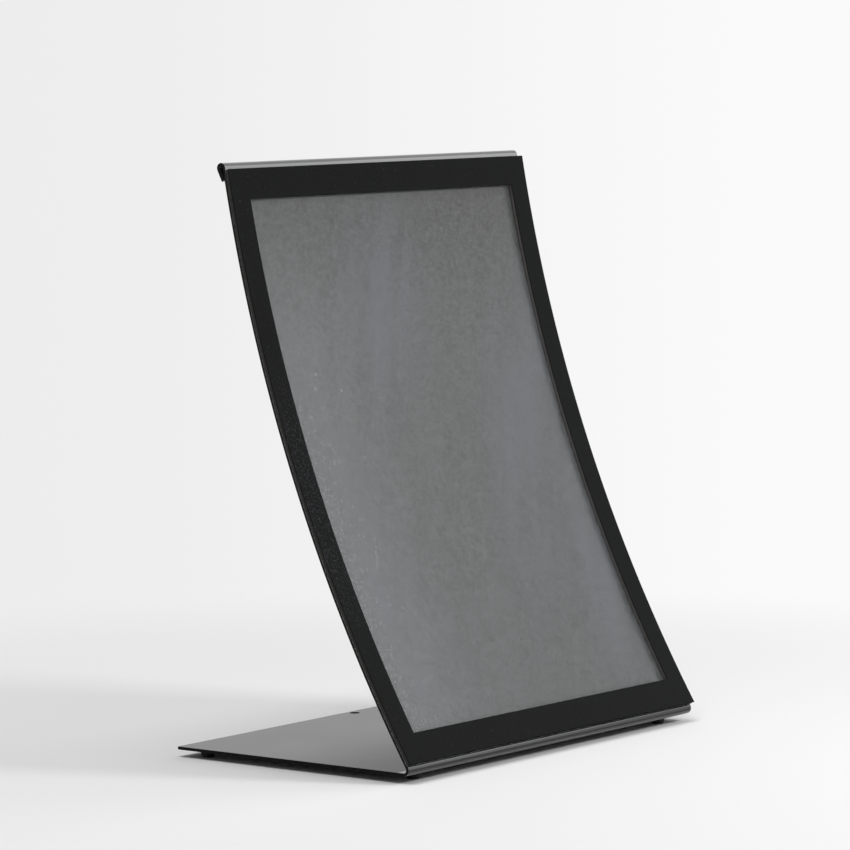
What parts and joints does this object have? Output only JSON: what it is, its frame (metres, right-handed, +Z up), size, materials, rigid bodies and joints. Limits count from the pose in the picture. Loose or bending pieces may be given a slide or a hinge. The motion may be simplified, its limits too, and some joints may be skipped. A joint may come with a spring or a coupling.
{
  "type": "tabletop sign holder",
  "caption": "Free-standing curved sign holder bent from one steel sheet, with a thin black-bordered magnetic cover and matte window over the leaning front.",
  "frame": {"origin": "on the table, under the middle of the object's box", "axes": "+Z up, +Y towards the back, where the base's free edge lies, and +X to the right as seen by a reader in front; the cover faces -Y"},
  "size_m": [0.2286, 0.1412, 0.2823],
  "materials": {
    "powder_coat": "satin dark grey powder coat",
    "border_black": "matte black vinyl",
    "window_film": "matte frosted clear film",
    "magnet_rubber": "dull dark magnet strip",
    "foot_rubber": "matte black rubber",
    "foot_tape": "grey adhesive foam"
  },
  "bodies": {
    "stand": {"steel_stand": "powder_coat", "foot_front_left": "foot_rubber", "foot_front_right": "foot_rubber", "foot_rear_left": "foot_rubber", "foot_rear_right": "foot_rubber", "foot_tape_front_left": "foot_tape", "foot_tape_front_right": "foot_tape", "foot_tape_rear_left": "foot_tape", "foot_tape_rear_right": "foot_tape"},
    "cover": {"cover_border": "border_black", "cover_window": "window_film", "magnet_strip_top": "magnet_rubber", "magnet_strip_bottom": "magnet_rubber", "magnet_strip_left": "magnet_rubber", "magnet_strip_right": "magnet_rubber"}
  },
  "joints": [
    {"name": "cover_pull", "type": "slide", "parent": "stand", "child": "cover", "axis": [0, -0.9336, 0.3584], "range_m": [0, 0.08]}
  ]
}
